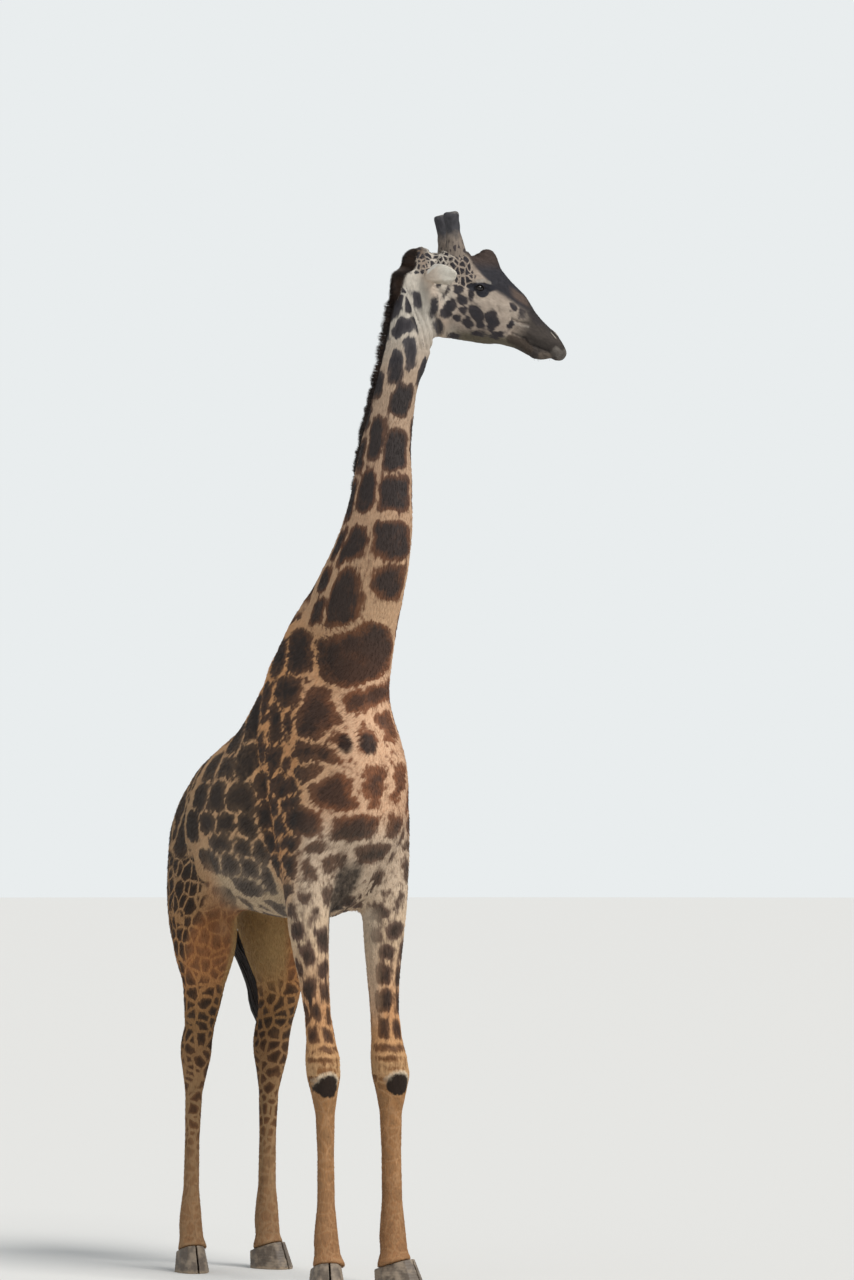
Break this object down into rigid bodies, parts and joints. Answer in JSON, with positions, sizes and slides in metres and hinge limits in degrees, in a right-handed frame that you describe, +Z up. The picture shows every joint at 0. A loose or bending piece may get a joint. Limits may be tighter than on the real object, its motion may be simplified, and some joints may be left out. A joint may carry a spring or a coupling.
{
  "type": "giraffe",
  "caption": "Standing bull giraffe, life size, with a long upright neck, head turned to its left, horns, mane and tasselled tail.",
  "frame": {"origin": "on the floor, under the centre of the animal's bounding box", "axes": "+X the way the body faces, +Y the animal's left, towards which the head is turned, +Z up"},
  "size_m": [2.1334, 1.2208, 5.0041],
  "materials": {
    "coat": "short, flat-lying hair in dark brown jagged patches on tan and buff lines",
    "coat_pale": "short white to cream hair on the ears",
    "horn": "short grey-tan hair on bone, worn bald and dark at the tips",
    "eye": "wet, near-black brown",
    "hoof": "dull grey-brown horn with growth rings",
    "hair": "coarse dark brown to black hair"
  },
  "bodies": {
    "root": {"head": "coat", "neck": "coat", "trunk": "coat", "tail": "coat", "mane": "hair", "tail_tassel": "hair", "ear_left": "coat_pale", "eye_left": "eye", "ossicone_left": "horn", "leg_front_left": "coat", "hoof_front_left_inner": "hoof", "hoof_front_left_outer": "hoof", "leg_hind_left": "coat", "hoof_hind_left_inner": "hoof", "hoof_hind_left_outer": "hoof", "ear_right": "coat_pale", "eye_right": "eye", "ossicone_right": "horn", "leg_front_right": "coat", "hoof_front_right_inner": "hoof", "hoof_front_right_outer": "hoof", "leg_hind_right": "coat", "hoof_hind_right_inner": "hoof", "hoof_hind_right_outer": "hoof"}
  },
  "joints": []
}
